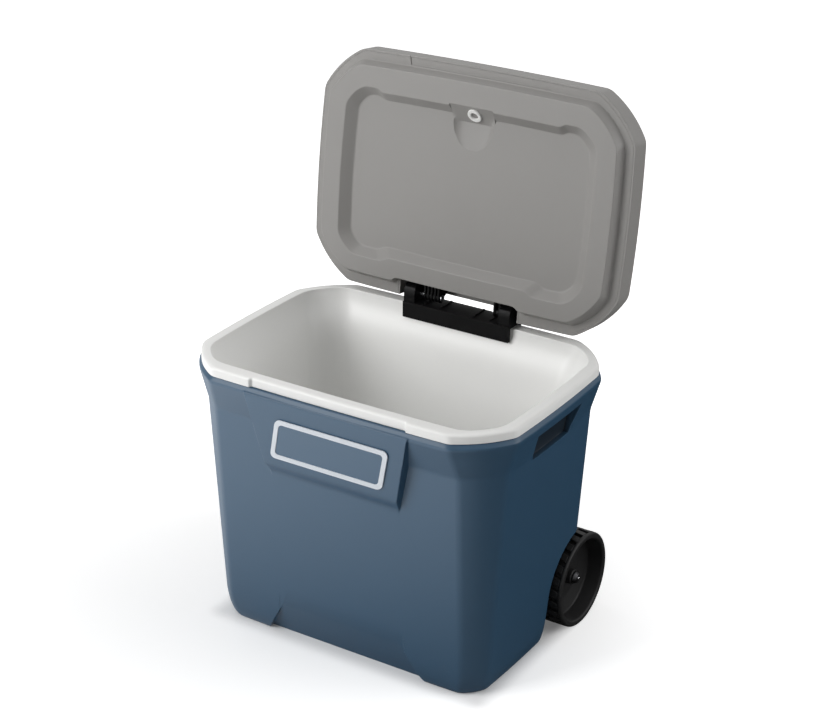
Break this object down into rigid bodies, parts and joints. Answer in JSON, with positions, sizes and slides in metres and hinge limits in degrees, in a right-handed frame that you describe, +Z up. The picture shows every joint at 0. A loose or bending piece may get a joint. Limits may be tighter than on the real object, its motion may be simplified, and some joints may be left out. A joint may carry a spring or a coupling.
{
  "type": "wheeled cooler",
  "caption": "Insulated chest cooler with a hinged lid, rear wheels, side hand pockets, a telescoping tow handle and a low drain, stored with the lid open.",
  "frame": {"origin": "on the ground, under the middle of the tub's rim", "axes": "+Z up, -Y towards the front with the badge, +X along the tub towards the end without the drain"},
  "size_m": [0.567, 0.4643, 0.8465],
  "materials": {
    "shell_blue": "satin",
    "liner_white": "satin",
    "lid_grey": "satin",
    "pan_grey": "satin",
    "foam_cream": "matte",
    "hinge_black": "satin",
    "wheel_black": "matte",
    "tube_steel": "satin",
    "nut_bright": "gloss",
    "badge_blank": "satin",
    "gasket_rubber": "matte"
  },
  "bodies": {
    "tub": {"outer_shell": "shell_blue", "foam_core": "foam_cream", "inner_liner": "liner_white", "badge_plate": "badge_blank", "hinge_bracket": "hinge_black", "hinge_pin_left": "nut_bright", "hinge_pin_right": "nut_bright", "axle": "tube_steel", "axle_washer_left": "tube_steel", "axle_washer_right": "tube_steel", "push_nut_left": "nut_bright", "push_nut_right": "nut_bright", "guide_tube_left": "tube_steel", "guide_tube_right": "tube_steel", "guide_collar_left": "hinge_black", "guide_collar_right": "hinge_black", "handle_bracket_upper": "hinge_black", "handle_bracket_lower": "hinge_black", "handle_screw_upper_left": "nut_bright", "handle_screw_upper_right": "nut_bright", "handle_screw_lower_left": "nut_bright", "handle_screw_lower_right": "nut_bright", "drain_spout": "liner_white", "drain_gasket": "gasket_rubber", "drain_nut": "liner_white"},
    "lid": {"lid_outer": "lid_grey", "lid_foam": "foam_cream", "lid_inner": "pan_grey", "lid_plug": "liner_white", "hinge_leaf_left": "hinge_black", "hinge_leaf_right": "hinge_black"},
    "left_wheel": {"wheel_left": "wheel_black"},
    "right_wheel": {"wheel_right": "wheel_black"},
    "handle_middle": {"middle_tube_left": "tube_steel", "middle_tube_right": "tube_steel"},
    "handle_top": {"inner_tube_left": "tube_steel", "inner_tube_right": "tube_steel", "tow_grip": "hinge_black"},
    "plug": {"drain_plug": "hinge_black"}
  },
  "joints": [
    {"name": "lid_hinge", "type": "hinge", "parent": "tub", "child": "lid", "pos_m": [0, 0.18555, 0.471], "axis": [1, 0, 0], "range_deg": [0, 97.37]},
    {"name": "left_wheel_spin", "type": "hinge", "parent": "tub", "child": "left_wheel", "pos_m": [-0.237, 0.132, 0.0775], "axis": [1, 0, 0], "continuous": true},
    {"name": "right_wheel_spin", "type": "hinge", "parent": "tub", "child": "right_wheel", "pos_m": [0.237, 0.132, 0.0775], "axis": [1, 0, 0], "continuous": true},
    {"name": "handle_lower_slide", "type": "slide", "parent": "tub", "child": "handle_middle", "axis": [0, 0.1564, 0.9877], "range_m": [0, 0.2587]},
    {"name": "handle_upper_slide", "type": "slide", "parent": "handle_middle", "child": "handle_top", "axis": [0, 0.1564, 0.9877], "range_m": [0, 0.2694]},
    {"name": "drain_plug_pull", "type": "slide", "parent": "tub", "child": "plug", "axis": [-1, 0, 0], "range_m": [0, 0.02]}
  ]
}
